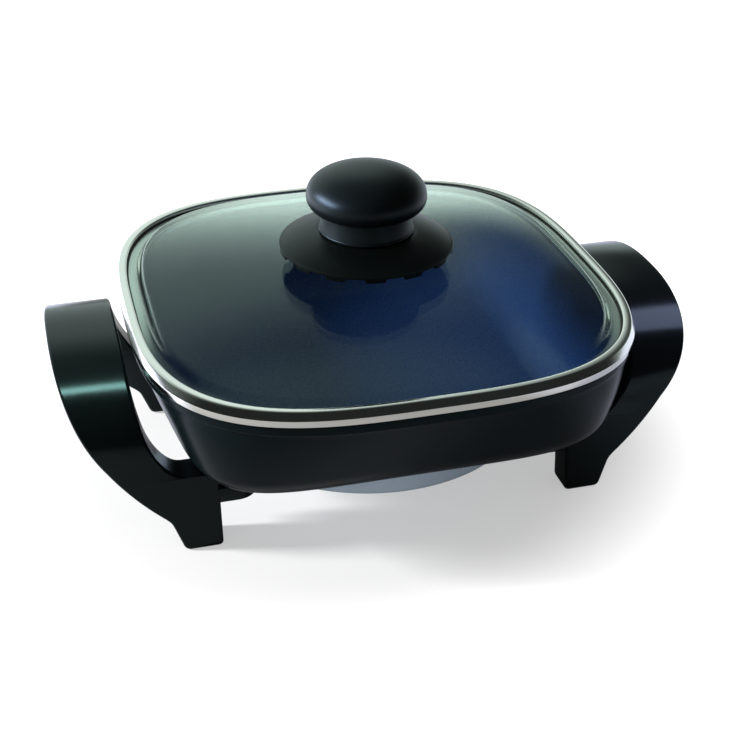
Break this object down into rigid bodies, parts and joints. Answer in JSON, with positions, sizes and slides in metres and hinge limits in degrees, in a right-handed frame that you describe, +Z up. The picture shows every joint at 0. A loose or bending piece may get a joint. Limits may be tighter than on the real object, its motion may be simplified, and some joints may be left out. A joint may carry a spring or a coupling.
{
  "type": "electric skillet",
  "caption": "Small square electric skillet: deep cast pan on two arched side handles that are also its feet, round heater below, and a lift-off domed glass lid with a knob.",
  "frame": {"origin": "on the floor under the middle of the pan", "axes": "+Z up, +X along the line through both handles towards the one beside the heat control's socket, -Y to the front of the skillet"},
  "size_m": [0.283, 0.216, 0.1419],
  "materials": {
    "pan_coating": "satin blue-black non-stick coating on cast aluminium",
    "black_phenolic": "satin black moulded phenolic with a fine grain",
    "steel": "plain",
    "rim_steel": "polished stainless steel",
    "aluminium": "cast, fine rough texture",
    "heater_sheath": "dull steel sheath",
    "brass": "machined",
    "ceramic": "glazed off-white ceramic",
    "mica": "pressed mica",
    "silicone": "matte black silicone",
    "tempered_glass": "clear tempered glass with a slight green tint"
  },
  "bodies": {
    "base": {"pan": "pan_coating", "left_handle": "black_phenolic", "right_handle": "black_phenolic", "handle_screw_left_front": "steel", "handle_screw_left_rear": "steel", "handle_screw_right_front": "steel", "handle_screw_right_rear": "steel", "handle_washer_left_front": "steel", "handle_washer_left_rear": "steel", "handle_washer_right_front": "steel", "handle_washer_right_rear": "steel", "handle_spacer_left_front": "mica", "handle_spacer_left_rear": "mica", "handle_spacer_right_front": "mica", "handle_spacer_right_rear": "mica", "heater_plate": "aluminium", "heating_element": "heater_sheath", "heat_cover": "aluminium", "cover_screw_1": "steel", "cover_screw_2": "steel", "cover_screw_3": "steel", "terminal_pin_front": "steel", "terminal_pin_rear": "steel", "ceramic_bush_front": "ceramic", "ceramic_bush_rear": "ceramic", "probe_sleeve": "steel", "terminal_guard": "black_phenolic", "guard_screw_front": "steel", "guard_screw_rear": "steel"},
    "lid": {"lid_rim": "rim_steel", "rim_seal": "silicone", "lid_glass": "tempered_glass", "knob_skirt": "black_phenolic", "lid_knob": "black_phenolic", "knob_insert": "brass", "knob_seal_upper": "silicone", "knob_seal_lower": "silicone", "knob_washer": "steel", "knob_screw": "steel"}
  },
  "joints": [
    {"name": "lid_lift", "type": "slide", "parent": "base", "child": "lid", "axis": [0, 0, 1], "range_m": [0, 0.12]}
  ]
}
